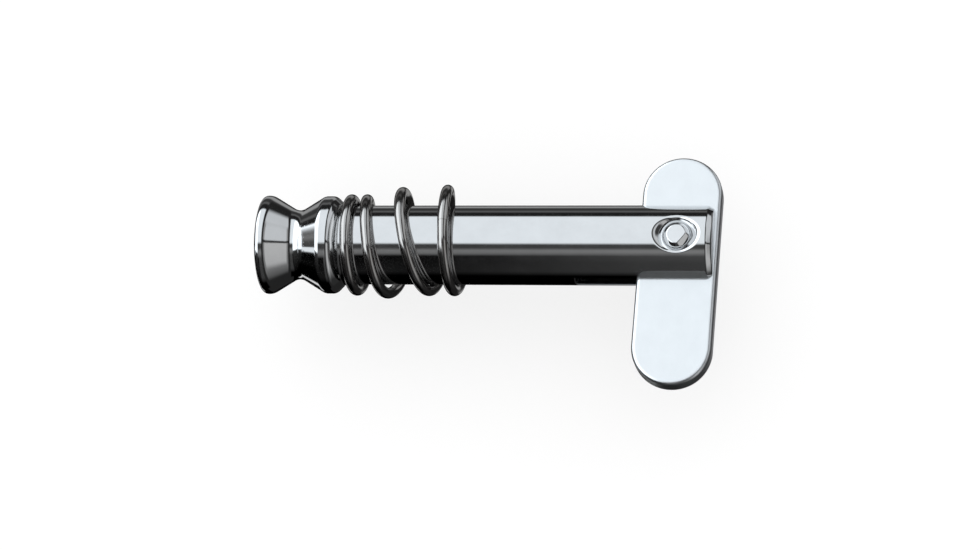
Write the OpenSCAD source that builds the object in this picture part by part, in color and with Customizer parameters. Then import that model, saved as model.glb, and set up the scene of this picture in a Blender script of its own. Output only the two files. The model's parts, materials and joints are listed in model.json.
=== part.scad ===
// Drop-nose quick-release pin for a trailer hitch or clevis.
// A turned pin with a pull knob, a compression spring against its flange and a flat nose that swings
// across the end on a rivet. The shank lies along +X, from the centre of the knob's outer face at the
// origin. The rivet stands along Z, and the long arm of the nose points to -Y.

/* [Shank] */
// Diameter of the straight shank
shank_d = 7.94; // [7.5:0.01:9]
// Length from the foot of the flange to the tip
shank_length = 37.25; // [34:0.05:50]
// Chamfer at the tip, along the shank
tip_chamfer = 0.55; // [0.3:0.05:1]
// Length from the foot of the flange that the spring covers
spring_stretch = 12.2; // [12.1:0.1:14]

/* [Pull knob] */
// Diameter of the knob at the outer end
knob_d = 9.96; // [9.5:0.02:10]
// Diameter of the waist between the knob and the flange
waist_d = 6.98; // [6.9:0.02:7.5]
// Diameter of the flange
flange_d = 9.82; // [9.5:0.02:9.86]
// Length from the outer end of the knob to the foot of the flange
knob_length = 8.35; // [8.35:0.05:9]
// Rounding of the knob's outer rim
rim_round = 0.45; // [0.2:0.05:0.7]

/* [Nose slot] */
// Width of the slot in the shank
slot_w = 2.15; // [2:0.05:2.4]
// Depth of the slot, from the tip
slot_depth = 13.6; // [13.5:0.1:15]

/* [Nose] */
// Thickness of the nose plate
nose_t = 2; // [1.2:0.05:2]
// Width of the nose plate
nose_w = 7.9; // [6:0.02:7.9]
// From the rivet to the end of the long arm
long_arm = 14.6; // [12:0.1:18]
// From the rivet to the end of the short arm
short_arm = 8.95; // [8:0.05:9.3]
// Lean of the hanging nose, with the long arm towards the knob
nose_lean = 2; // [0:0.5:5]

/* [Rivet] */
// Diameter of the rivet
rivet_d = 2.6; // [2.2:0.1:2.8]
// From the tip of the shank to the rivet
rivet_setback = 3.46; // [3.4:0.02:4]
// Diameter of each countersink where it meets the shank
countersink_d = 4.4; // [4.2:0.1:4.8]
// Height of the rivet's flat ends from the middle of the shank
rivet_reach = 3.65; // [3.5:0.05:3.7]

/* [Spring] */
// Diameter of the spring wire
wire_d = 1.12; // [0.8:0.02:1.12]
// Mean diameter of the closed coils that grip the shank
closed_coil_d = 9.1; // [9.1:0.02:9.3]
// Mean diameter of the free end coil
free_coil_d = 10.06; // [10.06:0.02:10.4]
// Sideways shift of the free coils, which hang to one side of the shank
coil_shift = 0.42; // [0:0.01:0.42]
// Pitch of the closed coils
closed_pitch = 1.14; // [1.14:0.01:1.16]
// Pitch added in the open coils
open_pitch = 3.04; // [2.8:0.02:3.06]

/* [Hidden] */
$fn = 96;

// Places along the shank
flange_x = knob_length;
tip_x = flange_x + shank_length;
rivet_x = tip_x - rivet_setback;

shank_r = shank_d / 2;
tip_drop = 0.36;
// The shank tapers by a hair under the spring and around the nose. The grip between is a true cylinder.
ground_relief = 0.01;
grip_start_x = flange_x + spring_stretch;
nose_gap = 0.3;
grip_end_x = rivet_x - nose_w / 2 - nose_gap;

// Knob and flange: two cones with a short waist between them.
cone_angle = 31;
rim_land = 0.87;
flange_land = 1.02;
// The flange's chamfer runs down to the shank at 45 degrees.
flange_chamfer = flange_d / 2 - shank_r + ground_relief;
waist_fillet = 0.6;
arc_steps = 8;

fit_gap = 0.01;
running_gap = 0.06;
rivet_chamfer = 0.36;
bore_r = rivet_d / 2 + fit_gap;

// The coil is drawn by its turn number. Turn 0 is where the wire first crosses the +Y side.
first_turn = -0.32;
free_end_turn = 3.24;
last_turn = 3.7;
turn_zero_x = flange_x + 0.6;
steps_per_turn = 30;
wire_sides = 12;
// The free coils also ride a little high on the shank.
coil_rise = 0.24;
// How far the open coils lean along the shank, across +Y and across +Z
coil_tilt = [0.24, 0.56];

function clamp01(s) = min(1, max(0, s));
function smooth(s) = let (c = clamp01(s)) c * c * (3 - 2 * c);
// Integral of smooth(), for a pitch that rises or falls gently
function ramp(s) = s <= 0 ? 0 : s >= 1 ? s - 0.5 : pow(s, 3) - pow(s, 4) / 2;
function opened(turn, from, to) = (to - from) * ramp((turn - from) / (to - from));

function coil_r(turn) =
    (closed_coil_d + (free_coil_d - closed_coil_d) * smooth((turn - 1.2) / 0.63)) / 2;
function coil_off(turn) = smooth((turn - 1.8) / 0.5) * [coil_shift, coil_rise];
function coil_lean(turn) =
    pow(sin(180 * clamp01((turn - 1.32) / 1.6)), 2) * coil_tilt * [cos(360 * turn), sin(360 * turn)];
function coil_x(turn) = turn_zero_x + closed_pitch * turn
    + open_pitch * (opened(turn, 0.58, 1.28) - opened(turn, 2.95, 3.22))
    - coil_lean(turn);
function coil_point(turn) = [
    coil_x(turn),
    coil_r(turn) * cos(360 * turn) + coil_off(turn)[0],
    coil_r(turn) * sin(360 * turn) + coil_off(turn)[1]
];

function unit(v) = v / norm(v);
function wire_ring(turn) = let (
    centre = coil_point(turn),
    along = unit(coil_point(turn + 0.002) - coil_point(turn - 0.002)),
    outward = [0, cos(360 * turn), sin(360 * turn)],
    side = unit(cross(along, outward)),
    out = cross(side, along)
) [for (k = [0 : wire_sides - 1]) let (a = 360 * k / wire_sides)
    centre + wire_d / 2 * (cos(a) * out + sin(a) * side)];

// A length of the spring's wire between two turn numbers, with flat ends.
module coil(from, to) {
    steps = ceil((to - from) * steps_per_turn);
    rings = [for (i = [0 : steps]) wire_ring(from + (to - from) * i / steps)];
    n = wire_sides;
    walls = [for (i = [0 : steps - 1], k = [0 : n - 1]) let (m = (k + 1) % n)
        each [
            [i * n + k, i * n + m, (i + 1) * n + k],
            [i * n + m, (i + 1) * n + m, (i + 1) * n + k]
        ]];
    start_cap = [for (k = [n - 1 : -1 : 0]) k];
    end_cap = [for (k = [0 : n - 1]) steps * n + k];
    polyhedron([for (ring = rings) each ring], concat([start_cap], walls, [end_cap]));
}

// Points of an arc about a centre, as [radius from the axis, place along the shank]
function arc(centre, r, from, to) =
    [for (i = [0 : arc_steps]) let (a = from + (to - from) * i / arc_steps)
        centre + r * [sin(a), cos(a)]];

// Half outline of the turned pin, from the knob's outer face to the tip.
function pin_outline() = let (
    knob_r = knob_d / 2,
    flange_r = flange_d / 2,
    waist_r = waist_d / 2,
    cone_end_x = flange_x - flange_chamfer - flange_land,
    fillet_length = waist_fillet * tan(cone_angle / 2),
    waist_start_x = rim_land + (knob_r - waist_r) / tan(cone_angle) + fillet_length,
    waist_end_x = cone_end_x - (flange_r - waist_r) / tan(cone_angle) - fillet_length
) concat(
    [[0, 0]],
    arc([knob_r - rim_round, rim_round], rim_round, 180, 90),
    [[knob_r, rim_land]],
    arc([waist_r + waist_fillet, waist_start_x], waist_fillet, 270 - cone_angle, 270),
    arc([waist_r + waist_fillet, waist_end_x], waist_fillet, 270, 270 + cone_angle),
    [
        [flange_r, cone_end_x],
        [flange_r, flange_x - flange_chamfer],
        [shank_r - ground_relief, flange_x],
        [shank_r, grip_start_x],
        [shank_r, grip_end_x],
        [shank_r - ground_relief, tip_x - tip_chamfer],
        [shank_r - tip_drop, tip_x],
        [0, tip_x]
    ]
);

module along_shank() rotate([0, 90, 0]) children();

module slot() {
    over = 1;
    translate([tip_x - slot_depth, -shank_r - over, -slot_w / 2])
        cube([slot_depth + over, shank_d + 2 * over, slot_w]);
}

// The rivet's cross bore, with a 90 degree countersink at each side
module rivet_bore() {
    over = 0.5;
    translate([rivet_x, 0, -shank_r - over]) cylinder(r = bore_r, h = shank_d + 2 * over);
    for (flip = [0, 180]) translate([rivet_x, 0, 0]) rotate([flip, 0, 0])
        translate([0, 0, shank_r - countersink_d / 2 + bore_r])
            cylinder(r1 = bore_r, r2 = countersink_d / 2 + over, h = countersink_d / 2 - bore_r + over);
}

module pin_body() {
    color("silver") difference() {
        along_shank() rotate_extrude() polygon(pin_outline());
        slot();
        rivet_bore();
    }
}

module nose_plate() {
    straight_up = short_arm - nose_w / 2;
    straight_down = long_arm - nose_w / 2;
    color("gainsboro") translate([rivet_x, 0, -nose_t / 2]) rotate(-nose_lean)
        linear_extrude(nose_t) difference() {
            union() {
                translate([-nose_w / 2, -straight_down]) square([nose_w, straight_down + straight_up]);
                translate([0, straight_up]) circle(d = nose_w);
                translate([0, -straight_down]) circle(d = nose_w);
            }
            circle(d = rivet_d + 2 * running_gap);
        }
}

// Flat-ended rivet, fast in the bore of the pin
module rivet() {
    r = rivet_d / 2;
    color("lightgray") translate([rivet_x, 0, 0]) rotate_extrude() polygon([
        [0, -rivet_reach], [r - rivet_chamfer, -rivet_reach], [r, -rivet_reach + rivet_chamfer],
        [r, rivet_reach - rivet_chamfer], [r - rivet_chamfer, rivet_reach], [0, rivet_reach]
    ]);
}

module spring() { color("dimgray") coil(first_turn, free_end_turn); }

// The last coil of the same wire, which travels when the spring is pressed
module spring_free_end() { color("dimgray") coil(free_end_turn, last_turn); }

pin_body();
nose_plate();
rivet();
spring();
spring_free_end();
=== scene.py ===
"""Looks of a drop-nose quick-release hitch pin: polished turned steel, a satin nose plate, a peened rivet
and a bright wire spring, on a plain pale floor under soft studio light.

Lengths are in millimetres until a mesh is made. The shank lies along +X, the rivet along Z."""
import json
import math

import bpy
import numpy as np
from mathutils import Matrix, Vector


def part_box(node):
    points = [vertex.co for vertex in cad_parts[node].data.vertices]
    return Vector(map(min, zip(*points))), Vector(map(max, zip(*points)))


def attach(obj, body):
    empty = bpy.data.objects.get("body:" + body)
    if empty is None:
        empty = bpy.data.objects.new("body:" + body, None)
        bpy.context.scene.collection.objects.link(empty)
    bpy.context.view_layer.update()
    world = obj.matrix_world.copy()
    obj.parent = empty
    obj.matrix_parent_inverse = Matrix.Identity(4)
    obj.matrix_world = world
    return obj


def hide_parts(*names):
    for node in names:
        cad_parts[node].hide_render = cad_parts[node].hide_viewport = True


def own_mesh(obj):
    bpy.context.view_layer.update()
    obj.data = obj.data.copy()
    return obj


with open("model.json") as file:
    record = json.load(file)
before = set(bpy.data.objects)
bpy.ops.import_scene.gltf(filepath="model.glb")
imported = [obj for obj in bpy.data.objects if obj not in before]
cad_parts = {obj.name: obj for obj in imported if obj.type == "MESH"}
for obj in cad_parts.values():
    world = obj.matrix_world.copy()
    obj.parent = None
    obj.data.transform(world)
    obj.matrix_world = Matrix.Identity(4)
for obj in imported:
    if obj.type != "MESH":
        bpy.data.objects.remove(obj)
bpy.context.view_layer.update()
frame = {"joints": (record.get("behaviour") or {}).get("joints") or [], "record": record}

MM = 0.001


def node_box(name):
    """Lowest and highest corner of a CAD node, in millimetres."""
    low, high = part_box(name)
    return np.array(low) / MM, np.array(high) / MM


def mount(name):
    return next(m for m in frame["record"]["mounts"] if m["name"] == name)


# --- Sizes ------------------------------------------------------------------------------------------
pin_low, pin_high = node_box("pin_body")
rivet_low, rivet_high = node_box("rivet")
plate_low, plate_high = node_box("nose_plate")

TIP_X = pin_high[0]
RIVET_X = (rivet_low[0] + rivet_high[0]) / 2
RIVET_R = (rivet_high[0] - rivet_low[0]) / 2
RIVET_REACH = rivet_high[2]
KNOB_R = pin_high[1]
SHANK_R = mount("grip")["dims"]["r_mm"]
PLATE_T = plate_high[2] - plate_low[2]

# Knob, waist and flange. FLANGE_X is the foot of the flange's chamfer.
FLANGE_X = 8.35
FLANGE_R = 4.91
FLANGE_LAND = 1.02
FLANGE_CHAMFER = 0.95
WAIST_R = 3.49
KNOB_LAND = 0.87
CONE_ANGLE = math.radians(31)
TIP_CHAMFER = 0.55
TIP_DROP = 0.36
RIM_ROUND = 0.5
KNOB_EDGE_ROUND = 0.2
FLANGE_EDGE_ROUND = 0.12
FLANGE_FRONT_ROUND = 0.22
TIP_EDGE_ROUND = 0.08
TIP_FACE_ROUND = 0.12
WAIST_FILL = 0.2
FOOT_FILL = 0.08
# The cones run on inside the pin, so each solid is cut off where the next one has taken over.
FLANGE_START_X = 3.6
SHANK_START_X = 5
WAIST_MIDDLE_X, WAIST_HALF = 4, 3

# Slot, bore and countersinks
SLOT_X = TIP_X - 13.6
SLOT_W = 2.15
BORE_R = RIVET_R + 0.01
COUNTERSINK_R = 2.2
SLOT_EDGE_ROUND = 0.14
COUNTERSINK_EDGE_ROUND = 0.22

# Nose plate
NOSE_R = 3.95
LONG_ARM = 14.6
SHORT_ARM = 8.95
NOSE_LEAN = math.radians(2)
EYE_R = RIVET_R + 0.06
PLATE_FRONT_ROUND = 0.45
PLATE_BACK_ROUND = 0.25
EYE_ROUND = 0.1

# Rivet
RIVET_CHAMFER = 0.36
RIVET_EDGE_ROUND, RIVET_FACE_ROUND, FACET_ROUND = 0.08, 0.07, 0.06
DISH_DEPTH, DISH_R = 0.03, 0.9
FACET_SLOPE = math.radians(50)

# Spring, drawn by its turn number. Turn 0 is where the wire first crosses the +Y side.
WIRE_R = 0.56
CLOSED_COIL_R = 4.55
FREE_COIL_R = 5.03
COIL_SHIFT = 0.42
COIL_RISE = 0.24
CLOSED_PITCH = 1.14
OPEN_PITCH = 3.04
COIL_TILT = (0.24, 0.56)
TURN_ZERO_X = FLANGE_X + 0.6
FIRST_TURN, FREE_END_TURN, LAST_TURN = -0.32, 3.24, 3.7
# Turns over which each change is made, as where it starts and where it ends
OPENING = (0.58, 1.28)
CLOSING = (2.95, 3.22)
WIDENING = (1.2, 1.83)
SHIFTING = (1.8, 2.3)
LEANING = (1.32, 2.92)
STEPS_PER_TURN = 96
WIRE_SIDES = 32


# --- Solid shapes as fields: a field is negative inside the steel, and its value is a distance --------
def cut_corner(a, b, radius):
    """The space inside both a and b, with their shared edge rounded."""
    return np.maximum(a, b) + np.maximum(radius - np.abs(a - b), 0) ** 2 / (4 * radius)


def fill_corner(a, b, radius):
    """The space inside a or b, with the corner between them filled."""
    return -cut_corner(-a, -b, radius)


def pin_field(x, y, z):
    """The turned pin: two cones that meet in a waist, a flange, a shank, a slot and a countersunk bore."""
    r = np.hypot(y, z)
    slope, rise = math.sin(CONE_ANGLE), math.cos(CONE_ANGLE)
    knob_cone = (x - KNOB_LAND) * slope + (r - KNOB_R) * rise
    flange_cone = (FLANGE_X - FLANGE_CHAMFER - FLANGE_LAND - x) * slope + (r - FLANGE_R) * rise
    knob = cut_corner(cut_corner(r - KNOB_R, knob_cone, KNOB_EDGE_ROUND), -x, RIM_ROUND)
    flange = cut_corner(r - FLANGE_R, flange_cone, FLANGE_EDGE_ROUND)
    flange = np.maximum(flange, FLANGE_START_X - x)
    flange_front = (r - FLANGE_R + x - FLANGE_X + FLANGE_CHAMFER) / math.sqrt(2)
    flange = cut_corner(flange, flange_front, FLANGE_FRONT_ROUND)
    chamfer = math.hypot(TIP_DROP, TIP_CHAMFER)
    tip_cone = ((x - TIP_X) * TIP_DROP + (r - SHANK_R + TIP_DROP) * TIP_CHAMFER) / chamfer
    shank = cut_corner(cut_corner(r - SHANK_R, tip_cone, TIP_EDGE_ROUND), x - TIP_X, TIP_FACE_ROUND)
    shank = np.maximum(shank, SHANK_START_X - x)
    waist = np.maximum(r - WAIST_R, np.abs(x - WAIST_MIDDLE_X) - WAIST_HALF)
    solid = fill_corner(np.minimum(knob, flange), waist, WAIST_FILL)
    solid = fill_corner(solid, shank, FOOT_FILL)

    slot = np.maximum(np.abs(z) - SLOT_W / 2, SLOT_X - x)
    solid = cut_corner(solid, -slot, SLOT_EDGE_ROUND)
    across = np.hypot(x - RIVET_X, y)
    countersink = (across - np.abs(z) + SHANK_R - COUNTERSINK_R) / math.sqrt(2)
    return cut_corner(solid, -np.minimum(across - BORE_R, countersink), COUNTERSINK_EDGE_ROUND)


def plate_field(x, y, z):
    """The nose plate: a round-ended strip with rolled edges and an eye for the rivet."""
    turn, side = math.cos(NOSE_LEAN), math.sin(NOSE_LEAN)
    along = (x - RIVET_X) * side + y * turn
    across = (x - RIVET_X) * turn - y * side
    middle = np.clip(along, NOSE_R - LONG_ARM, SHORT_ARM - NOSE_R)
    outline = np.hypot(across, along - middle) - NOSE_R
    eye = EYE_R - np.hypot(across, along)
    front = cut_corner(outline, z - PLATE_T / 2, PLATE_FRONT_ROUND)
    return cut_corner(cut_corner(front, -z - PLATE_T / 2, PLATE_BACK_ROUND), eye, EYE_ROUND)


RIVET_FACETS = (  # direction round the rivet, distance of the facet from the axis, end it is on
    (-38, 0.66, 1),
    (140, 0.7, -1),
)


def rivet_field(x, y, z):
    """The rivet: a plain shank whose ends are peened to blunt cones with a few hammered facets."""
    dx = x - RIVET_X
    across = np.hypot(dx, y)
    cone = (across + np.abs(z) - (RIVET_R - RIVET_CHAMFER) - RIVET_REACH) / math.sqrt(2)
    dish = DISH_DEPTH * (1 - np.minimum(across / DISH_R, 1) ** 2)
    sides = cut_corner(across - RIVET_R, cone, RIVET_EDGE_ROUND)
    solid = cut_corner(sides, np.abs(z) - RIVET_REACH + dish, RIVET_FACE_ROUND)
    for direction, reach, end in RIVET_FACETS:
        a = math.radians(direction)
        toward = dx * math.cos(a) + y * math.sin(a) - reach
        facet = toward * math.cos(FACET_SLOPE) + (z * end - RIVET_REACH) * math.sin(FACET_SLOPE)
        solid = cut_corner(solid, facet, FACET_ROUND)
    return solid


def gradient(field, points):
    """Unit directions in which the field grows, and the field's values, at an array of points."""
    step = 1e-4
    slopes = []
    for axis in range(3):
        ahead, behind = points.copy(), points.copy()
        ahead[:, axis] += step
        behind[:, axis] -= step
        slopes.append((field(*ahead.T) - field(*behind.T)) / (2 * step))
    slopes = np.stack(slopes, axis=1)
    size = np.linalg.norm(slopes, axis=1, keepdims=True)
    return slopes / np.maximum(size, 1e-9), field(*points.T)[:, None] / np.maximum(size, 1e-9)


def surface_points(field, values, axes, cell, active):
    """One point in each active cell: the mean of the places where the cell's edges cross the surface."""
    corners = [(i, j, k) for i in (0, 1) for j in (0, 1) for k in (0, 1)]
    at = {c: values[tuple((active + c).T)] for c in corners}
    total = np.zeros((len(active), 3))
    count = np.zeros((len(active), 1))
    for a in corners:
        for axis in range(3):
            if a[axis]:
                continue
            b = tuple(1 if n == axis else a[n] for n in range(3))
            crossed = (at[a] < 0) != (at[b] < 0)
            share = np.where(crossed, at[a] / np.where(crossed, at[a] - at[b], 1), 0)
            place = np.array(a, float) + share[:, None] * np.eye(3)[axis]
            total += place * crossed[:, None]
            count += crossed[:, None]
    low = np.array([axis[0] for axis in axes])
    return low + (active + total / count) * cell


def quads_around_edges(inside, number):
    """A four-sided face round each grid edge that crosses the surface, wound so that it faces outward."""
    faces = []
    for a in range(3):
        b, c = (a + 1) % 3, (a + 2) % 3
        here = [slice(1, -1)] * 3
        here[a] = slice(0, -1)
        ahead = list(here)
        ahead[a] = slice(1, None)
        start, end = inside[tuple(here)], inside[tuple(ahead)]
        for leaving in (True, False):
            nodes = np.argwhere((start == leaving) & (end != leaving))
            nodes[:, b] += 1
            nodes[:, c] += 1
            back_b, back_c = np.eye(3, dtype=int)[b], np.eye(3, dtype=int)[c]
            ring = [nodes - back_b - back_c, nodes - back_c, nodes, nodes - back_b]
            ring = ring if leaving else ring[::-1]
            faces.append(np.stack([number[tuple(cell.T)] for cell in ring], axis=1))
    return np.concatenate(faces)


def relax(field, points, faces, rounds):
    """Evens out the faces while every point stays on the surface."""
    pairs = np.concatenate([faces[:, [n, (n + 1) % 4]] for n in range(4)])
    for _ in range(rounds):
        total = np.zeros_like(points)
        count = np.zeros(len(points))
        np.add.at(total, pairs[:, 0], points[pairs[:, 1]])
        np.add.at(count, pairs[:, 0], 1)
        points = (points + total / count[:, None]) / 2
        for _ in range(2):
            out, distance = gradient(field, points)
            points = points - out * distance
    return points


def implicit_piece(name, field, low, high, cell):
    """A mesh of the surface where the field is zero, by surface nets, shaded with the field's own normals."""
    axes = [np.arange(a - 1.5 * cell, b + 2.5 * cell, cell) for a, b in zip(low, high)]
    x, y, z = axes
    values = field(x[:, None, None], y[None, :, None], z[None, None, :])
    inside = values < 0
    corner_count = sum(
        inside[i:len(x) - 1 + i, j:len(y) - 1 + j, k:len(z) - 1 + k].astype(np.int8)
        for i in (0, 1) for j in (0, 1) for k in (0, 1)
    )
    is_active = (corner_count > 0) & (corner_count < 8)
    active = np.argwhere(is_active)
    number = np.full(is_active.shape, -1)
    number[is_active] = np.arange(len(active))
    points = surface_points(field, values, axes, cell, active)
    faces = quads_around_edges(inside, number)
    points = relax(field, points, faces, 3)
    normals, _ = gradient(field, points)
    mesh = bpy.data.meshes.new(name)
    mesh.from_pydata(points * MM, [], faces.tolist())
    mesh.shade_smooth()
    mesh.normals_split_custom_set_from_vertices(normals)
    piece = bpy.data.objects.new(name, mesh)
    bpy.context.scene.collection.objects.link(piece)
    return piece


# --- Node helpers -----------------------------------------------------------------------------------
def node(tree, kind, inputs=None, **settings):
    """Adds a node, with its settings, and its inputs filled with values or with other nodes' outputs."""
    made = tree.nodes.new(kind)
    for name, value in settings.items():
        setattr(made, name, value)
    for key, value in (inputs or {}).items():
        if isinstance(value, bpy.types.NodeSocket):
            tree.links.new(value, made.inputs[key])
        else:
            made.inputs[key].default_value = value
    return made


def sums(tree, operation, *values):
    """The output of a Math node."""
    return node(tree, "ShaderNodeMath", dict(enumerate(values)), operation=operation).outputs[0]


def spread(tree, value, from_low, from_high, to_low=0.0, to_high=1.0, smooth=False):
    """A value carried from one range to another, and held inside it."""
    kind = "SMOOTHSTEP" if smooth else "LINEAR"
    inputs = {
        "Value": value, "From Min": from_low, "From Max": from_high, "To Min": to_low, "To Max": to_high,
    }
    return node(tree, "ShaderNodeMapRange", inputs, interpolation_type=kind).outputs[0]


def ramp(tree, value, stops):
    """A grey ramp. Each stop is (place, brightness) or (place, (red, green, blue))."""
    made = node(tree, "ShaderNodeValToRGB", {"Fac": value})
    elements = made.color_ramp.elements
    while len(elements) < len(stops):
        elements.new(0.5)
    for element, (place, shade) in zip(elements, stops):
        element.position = place
        element.color = (*(shade if isinstance(shade, tuple) else (shade,) * 3), 1)
    return made.outputs["Color"]


# --- Materials --------------------------------------------------------------------------------------
def new_material(name):
    material = bpy.data.materials.new(name)
    material.use_nodes = True
    tree = material.node_tree
    tree.nodes.clear()
    return material, tree


def finish_steel(tree, colour, roughness, bump_height, bump_strength, bump_distance):
    """Ends a material's nodes in a metal surface."""
    bump = node(tree, "ShaderNodeBump", {
        "Strength": bump_strength, "Distance": bump_distance * MM, "Height": bump_height,
    })
    surface = node(tree, "ShaderNodeBsdfPrincipled", {
        "Base Color": colour, "Metallic": 1.0, "Roughness": roughness, "Normal": bump.outputs[0],
    })
    node(tree, "ShaderNodeOutputMaterial", {"Surface": surface.outputs[0]})


def stretched_noise(tree, place, scale, detail=4.0, roughness=0.6):
    """Noise of a size given along each axis, in features per millimetre."""
    scaled = node(tree, "ShaderNodeVectorMath", {0: place, 1: scale}, operation="MULTIPLY")
    inputs = {"Vector": scaled.outputs[0], "Scale": 1.0, "Detail": detail, "Roughness": roughness}
    return node(tree, "ShaderNodeTexNoise", inputs).outputs["Fac"]


def place_in_mm(tree):
    place = node(tree, "ShaderNodeTexCoord").outputs["Object"]
    return node(tree, "ShaderNodeVectorMath", {0: place, "Scale": 1 / MM}, operation="SCALE").outputs[0]


def polished_steel(name, tint):
    """Turned and polished: near-mirror, with faint turning marks round the axis and soft smudges."""
    material, tree = new_material(name)
    place = place_in_mm(tree)
    turning = stretched_noise(tree, place, (26, 0.25, 0.25), 3.0)
    smudge = stretched_noise(tree, place, (0.5, 0.6, 0.6), 5.0)
    roughness = spread(tree, smudge, 0.3, 0.7, 0.05, 0.1)
    colour = ramp(tree, smudge, [(0.3, tuple(0.94 * c for c in tint)), (0.7, tint)])
    finish_steel(tree, colour, roughness, turning, 0.12, 0.004)
    return material


def satin_steel(name, tint):
    """Tumbled sheet: an even soft sheen with a fine mottle and short hair lines along the plate."""
    material, tree = new_material(name)
    place = place_in_mm(tree)
    grain = stretched_noise(tree, place, (18, 14, 18), 6.0, 0.7)
    hair = stretched_noise(tree, place, (22, 1.2, 22), 3.0)
    cloud = stretched_noise(tree, place, (0.7, 0.5, 0.7), 4.0)
    roughness = spread(tree, grain, 0.3, 0.7, 0.26, 0.36)
    colour = ramp(tree, cloud, [(0.3, tuple(0.96 * c for c in tint)), (0.7, tint)])
    height = sums(tree, "MULTIPLY_ADD", hair, 0.5, grain)
    finish_steel(tree, colour, roughness, height, 0.2, 0.006)
    return material


def drawn_wire(name, tint):
    """Drawn wire: die lines along the wire, which darken it in streaks."""
    material, tree = new_material(name)
    along = node(tree, "ShaderNodeAttribute", attribute_name="wire_along").outputs["Fac"]
    side = node(tree, "ShaderNodeAttribute", attribute_name="wire_side").outputs["Fac"]
    out = node(tree, "ShaderNodeAttribute", attribute_name="wire_out").outputs["Fac"]
    lengthwise, round_wire = 0.12, 4.0
    lines = node(tree, "ShaderNodeCombineXYZ", {
        "X": sums(tree, "MULTIPLY", along, lengthwise),
        "Y": sums(tree, "MULTIPLY", side, round_wire),
        "Z": sums(tree, "MULTIPLY", out, round_wire),
    })
    streaks = stretched_noise(tree, lines.outputs[0], (1, 1, 1), 3.0)
    roughness = spread(tree, streaks, 0.3, 0.7, 0.1, 0.2)
    colour = ramp(tree, streaks, [(0.3, tuple(0.85 * c for c in tint)), (0.7, tint)])
    finish_steel(tree, colour, roughness, streaks, 0.15, 0.01)
    return material


# --- Spring -----------------------------------------------------------------------------------------
def smooth(s):
    s = np.clip(s, 0, 1)
    return s * s * (3 - 2 * s)


def progress(turn, span):
    """How far a change has gone, from 0 at the start of its span of turns to 1 at the end."""
    return (turn - span[0]) / (span[1] - span[0])


def opened(turn, start, full):
    """Turns of open pitch wound so far, where the pitch opens gently between start and full."""
    s = (turn - start) / (full - start)
    inner = np.clip(s, 0, 1)
    return (full - start) * (inner ** 3 - inner ** 4 / 2 + np.maximum(s - 1, 0))


def open_turns(turn):
    return opened(turn, *OPENING) - opened(turn, *CLOSING)


def coil_points(turn):
    """Centre of the wire at each turn number."""
    angle = 2 * math.pi * turn
    radius = CLOSED_COIL_R + (FREE_COIL_R - CLOSED_COIL_R) * smooth(progress(turn, WIDENING))
    off = smooth(progress(turn, SHIFTING))
    x = TURN_ZERO_X + CLOSED_PITCH * turn + OPEN_PITCH * open_turns(turn) - coil_lean(turn)
    y = radius * np.cos(angle) + COIL_SHIFT * off
    z = radius * np.sin(angle) + COIL_RISE * off
    return np.stack([x, y, z], axis=1)


def coil_lean(turn):
    """How far the open coils lean towards the knob, on the +Y side and on the +Z side."""
    angle = 2 * math.pi * turn
    swell = np.sin(math.pi * np.clip(progress(turn, LEANING), 0, 1)) ** 2
    return swell * (COIL_TILT[0] * np.cos(angle) + COIL_TILT[1] * np.sin(angle))


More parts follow.
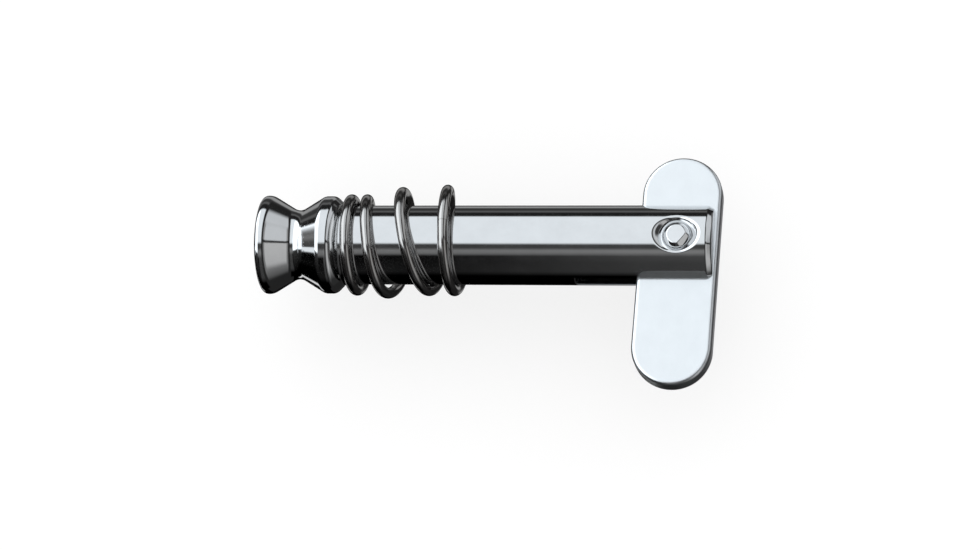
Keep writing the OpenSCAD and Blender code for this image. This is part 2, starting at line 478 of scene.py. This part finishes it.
def wire_modifier():
    """Geometry nodes that sweep a round wire along a line of points.

    The last point tells how far it went, and each point is put where that share of its own travel takes it,
    so the wire stays round and the closed coils stay put."""
    tree = bpy.data.node_groups.new("sweep_wire", "GeometryNodeTree")
    tree.interface.new_socket("Geometry", in_out="INPUT", socket_type="NodeSocketGeometry")
    tree.interface.new_socket("Geometry", in_out="OUTPUT", socket_type="NodeSocketGeometry")
    line = node(tree, "NodeGroupInput").outputs[0]

    def named(name):
        return node(tree, "GeometryNodeInputNamedAttribute", {"Name": name}, data_type="FLOAT").outputs[0]

    def at_last_point(value):
        size = node(tree, "GeometryNodeAttributeDomainSize", {0: line}).outputs["Point Count"]
        last = sums(tree, "SUBTRACT", size, 1.0)
        inputs = {"Geometry": line, "Value": value, "Index": last}
        return node(tree, "GeometryNodeSampleIndex", inputs, data_type="FLOAT").outputs[0]

    here = node(tree, "ShaderNodeSeparateXYZ", {0: node(tree, "GeometryNodeInputPosition").outputs[0]})
    moved = sums(tree, "SUBTRACT", named("rest_x"), here.outputs["X"])
    share = sums(tree, "DIVIDE", at_last_point(moved), at_last_point(named("squash_x")))
    pressed_x = sums(tree, "SUBTRACT", named("rest_x"), sums(tree, "MULTIPLY", named("press_x"), share))
    place = node(tree, "ShaderNodeCombineXYZ", {
        "X": pressed_x, "Y": here.outputs["Y"], "Z": here.outputs["Z"],
    })
    placed = node(tree, "GeometryNodeSetPosition", {"Geometry": line, "Position": place.outputs[0]})
    curve = node(tree, "GeometryNodeMeshToCurve", {0: placed.outputs[0]}).outputs[0]
    length = node(tree, "GeometryNodeSplineParameter").outputs["Length"]

    def stored(geometry, name, value):
        inputs = {"Geometry": geometry, "Name": name, "Value": value}
        kept = node(tree, "GeometryNodeStoreNamedAttribute", inputs, data_type="FLOAT", domain="POINT")
        return kept.outputs[0]

    curve = stored(curve, "wire_along", sums(tree, "DIVIDE", length, MM))
    ring = node(tree, "GeometryNodeCurvePrimitiveCircle", {"Resolution": WIRE_SIDES, "Radius": WIRE_R * MM})
    turn = sums(tree, "MULTIPLY", node(tree, "GeometryNodeSplineParameter").outputs["Factor"], 2 * math.pi)
    ring = stored(ring.outputs[0], "wire_side", sums(tree, "SINE", turn))
    ring = stored(ring, "wire_out", sums(tree, "COSINE", turn))
    swept = node(tree, "GeometryNodeCurveToMesh", {"Curve": curve, "Profile Curve": ring, "Fill Caps": True})
    smooth_faces = node(tree, "GeometryNodeSetShadeSmooth", {"Geometry": swept.outputs[0]})
    corner = node(tree, "GeometryNodeInputMeshEdgeAngle").outputs["Unsigned Angle"]
    sharp = node(tree, "FunctionNodeCompare", {0: corner, 1: math.radians(40)}, operation="GREATER_THAN")
    crisp = node(tree, "GeometryNodeSetShadeSmooth", {
        "Geometry": smooth_faces.outputs[0], "Selection": sharp.outputs[0], "Shade Smooth": False,
    }, domain="EDGE")
    finish = node(tree, "GeometryNodeSetMaterial", {"Geometry": crisp.outputs[0], "Material": wire_finish})
    node(tree, "NodeGroupOutput", {0: finish.outputs[0]})
    return tree


def wire_piece(name, start, end, sweep, travel):
    """A length of the spring between two turn numbers. travel is how far its end moves when pressed."""
    steps = math.ceil((end - start) * STEPS_PER_TURN)
    turn = np.linspace(start, end, steps + 1)
    points = coil_points(turn)
    mesh = bpy.data.meshes.new(name)
    mesh.from_pydata(points * MM, [(n, n + 1) for n in range(steps)], [])
    share = open_turns(turn) / open_turns(np.array([FREE_END_TURN]))
    for key, values in (
        ("rest_x", points[:, 0]),
        ("press_x", travel * share - coil_lean(turn)),
        ("squash_x", points[:, 0] - pin_low[0]),
    ):
        mesh.attributes.new(key, "FLOAT", "POINT").data.foreach_set("value", values * MM)
    piece = bpy.data.objects.new(name, mesh)
    bpy.context.scene.collection.objects.link(piece)
    piece.modifiers.new("wire", "NODES").node_group = sweep
    return piece


# --- Build ------------------------------------------------------------------------------------------
pin_finish = polished_steel("polished_steel", (0.76, 0.77, 0.78))
plate_finish = satin_steel("satin_steel", (0.84, 0.87, 0.89))
rivet_finish = polished_steel("peened_steel", (0.8, 0.81, 0.82))
wire_finish = drawn_wire("drawn_wire", (0.5, 0.49, 0.48))

CELL = 0.1
FINE_CELL = 0.06

pin = implicit_piece("pin_turned", pin_field, pin_low, pin_high, CELL)
pin.data.materials.append(pin_finish)
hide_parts("pin_body")
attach(pin, "pin")

plate = implicit_piece("nose_stamped", plate_field, plate_low, plate_high, CELL)
plate.data.materials.append(plate_finish)
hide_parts("nose_plate")
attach(plate, "nose")

rivet = implicit_piece("rivet_peened", rivet_field, rivet_low, rivet_high, FINE_CELL)
rivet.data.materials.append(rivet_finish)
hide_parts("rivet")
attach(rivet, "pin")

press = next(j for j in frame["joints"] if j["name"] == "spring_press")
TRAVEL = press["range_m"][1] / MM
SQUASH_KEEP = 0.9
sweep = wire_modifier()
coils = wire_piece("spring_coils", FIRST_TURN, FREE_END_TURN, sweep, TRAVEL)
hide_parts("spring")
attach(coils, "pin")
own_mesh(coils)
squash_x = coils.data.attributes["squash_x"].data
for point in squash_x:
    point.value *= 1 - SQUASH_KEEP

end_coil = wire_piece("spring_end_coil", FREE_END_TURN, LAST_TURN, sweep, TRAVEL)
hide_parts("spring_free_end")
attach(end_coil, "spring_end")


# --- Floor, light and camera ------------------------------------------------------------------------
def pale_floor():
    """A wide floor under the pin, partly self-lit so that it stays white.

    It is left out of mirror reflections: what the steel mirrors comes from the studio alone."""
    half = 4.0
    gap_under_spring = 6
    height = -(FREE_COIL_R + WIRE_R + gap_under_spring) * MM
    mesh = bpy.data.meshes.new("floor")
    corners = [(-half, -half, height), (half, -half, height), (half, half, height), (-half, half, height)]
    mesh.from_pydata(corners, [], [(0, 1, 2, 3)])
    floor = bpy.data.objects.new("floor", mesh)
    bpy.context.scene.collection.objects.link(floor)
    material, tree = new_material("floor_paper")
    paper = node(tree, "ShaderNodeBsdfPrincipled", {
        "Base Color": (0.4, 0.4, 0.4, 1), "Roughness": 1.0, "Specular IOR Level": 0.0,
        "Emission Color": (1, 1, 1, 1), "Emission Strength": 0.62,
    })
    node(tree, "ShaderNodeOutputMaterial", {"Surface": paper.outputs[0]})
    mesh.materials.append(material)
    floor.visible_glossy = False


def studio():
    """Even white light from all round, and a different surrounding for mirror rays: softboxes and dark gaps.

    The steel sees bands that run along X. A band's place is its direction round X, in degrees from straight
    up towards +Y. Right is the side the tip points to."""
    world = bpy.data.worlds.new("studio")
    bpy.context.scene.world = world
    world.use_nodes = True
    tree = world.node_tree
    tree.nodes.clear()
    direction = node(tree, "ShaderNodeTexCoord").outputs["Generated"]
    d = node(tree, "ShaderNodeSeparateXYZ", {0: direction}).outputs
    angle = sums(tree, "ARCTAN2", d["Y"], d["Z"])
    place = spread(tree, angle, -math.pi, math.pi)

    def bands(stops):
        return ramp(tree, place, [(0.5 + degrees / 360, shade) for degrees, shade in stops])

    def blend(factor, under, over):
        mixed = node(tree, "ShaderNodeMix", {"Factor": factor, 6: under, 7: over}, data_type="RGBA")
        return mixed.outputs[2]

    white = (0.96, 1.01, 1.05)
    grey = (0.66, 0.68, 0.7)
    bright = tuple(1.85 * c for c in white)
    ceiling_edge = [
        (76, 0.01), (90, 0.02), (94, 0.12), (98, 0.12), (104, 0.04), (116, 0.05), (122, 0.34), (132, 0.34),
        (140, 0.02),
    ]
    middle_left = bands([
        (-118, 0.0), (-100, 0.01), (-50, 0.0), (-42, 0.16), (-34, 0.2), (-26, 0.05), (-17, 0.05),
        (-11, white), (71, white), *ceiling_edge,
    ])
    middle_right = bands([
        (-118, 0.0), (-100, 0.05), (-70, 0.05), (-50, 0.07), (-38, 0.22), (-33, 0.22), (-26, 0.06),
        (-17, 0.06), (-11, white), (71, white), *ceiling_edge,
    ])
    left = bands([
        (-168, 0.0), (-165, 0.9), (-160, 0.9), (-157, 0.0), (-118, 0.0), (-60, 0.02), (-40, 0.04),
        (-34, bright), (71, bright), *ceiling_edge,
    ])
    far_left = bands([
        (-64, 0.0), (-58, white), (-36, white), (-30, 0.06),
        (0, 0.08), (25, 0.2), (50, 0.12), (70, 0.02), (114, 0.01), (121, 0.5), (132, 0.5), (140, 0.02),
    ])
    right = bands([
        (-140, 0.03), (-132, 0.09), (-115, 0.3), (-95, 0.5), (-14, 0.56), (-11, 0.02), (-6, 0.02),
        (-4, grey), (98, grey), (102, 0.02), (114, 0.03), (120, 0.5), (130, 0.5), (138, 0.02),
    ])
    right_near = bands([
        (-140, 0.03), (-110, 0.12), (-90, 0.2), (-14, 0.25), (-11, 0.02), (-6, 0.02), (-4, 0.32),
        (35, 0.32), (50, grey), (98, grey), (102, 0.02), (114, 0.03), (120, 0.5), (130, 0.5), (138, 0.02),
    ])
    below = bands([(-180, 0.02), (140, 0.02), (148, 0.4), (170, 0.4), (178, 0.02)])
    # The bands also change along X: each blend takes over past the places that its spread names.
    x = d["X"]
    seen = blend(spread(tree, x, -0.19, -0.11), middle_left, middle_right)
    is_under = spread(tree, sums(tree, "ABSOLUTE", angle), math.radians(140), math.radians(145))
    is_under_right = sums(tree, "MULTIPLY", is_under, spread(tree, x, 0.0, 0.04))
    seen = blend(is_under_right, seen, below)
    seen = blend(spread(tree, x, -0.26, -0.4, smooth=True), seen, left)
    seen = blend(spread(tree, x, -0.86, -0.94, smooth=True), seen, far_left)
    seen = blend(spread(tree, x, 0.18, 0.28, smooth=True), seen, (0.02, 0.02, 0.02, 1))
    seen = blend(spread(tree, x, 0.42, 0.52, smooth=True), seen, right_near)
    seen = blend(spread(tree, x, 0.6, 0.67, smooth=True), seen, right)
    seen = blend(spread(tree, x, 0.82, 0.95, smooth=True), seen, (0.05, 0.05, 0.05, 1))
    is_mirrored = node(tree, "ShaderNodeLightPath").outputs["Is Glossy Ray"]
    colour = node(tree, "ShaderNodeMix", {
        "Factor": is_mirrored, 6: (1.05, 1.05, 1.05, 1), 7: seen,
    }, data_type="RGBA").outputs[2]
    light = node(tree, "ShaderNodeBackground", {"Color": colour})
    node(tree, "ShaderNodeOutputWorld", {"Surface": light.outputs[0]})


def camera():
    """Looks down on the middle of the pin, a little from the tip's side and from the long arm's side."""
    turn = [math.radians(degrees) for degrees in (19.05, 9.44, 3.36)]
    distance = 294.5
    full_frame_width = 36
    aim_x = 23.0
    data = bpy.data.cameras.new("camera")
    data.sensor_width = full_frame_width
    data.lens = 108.5
    data.shift_y = -0.0304
    data.clip_start = 0.01
    made = bpy.data.objects.new("camera", data)
    bpy.context.scene.collection.objects.link(made)
    made.rotation_euler = turn
    aim = np.array([aim_x, 0, 0])
    back = np.array(made.rotation_euler.to_matrix().col[2])
    made.location = (aim + back * distance) * MM
    bpy.context.scene.camera = made


pale_floor()
studio()
camera()
bpy.context.scene.view_settings.view_transform = "Standard"
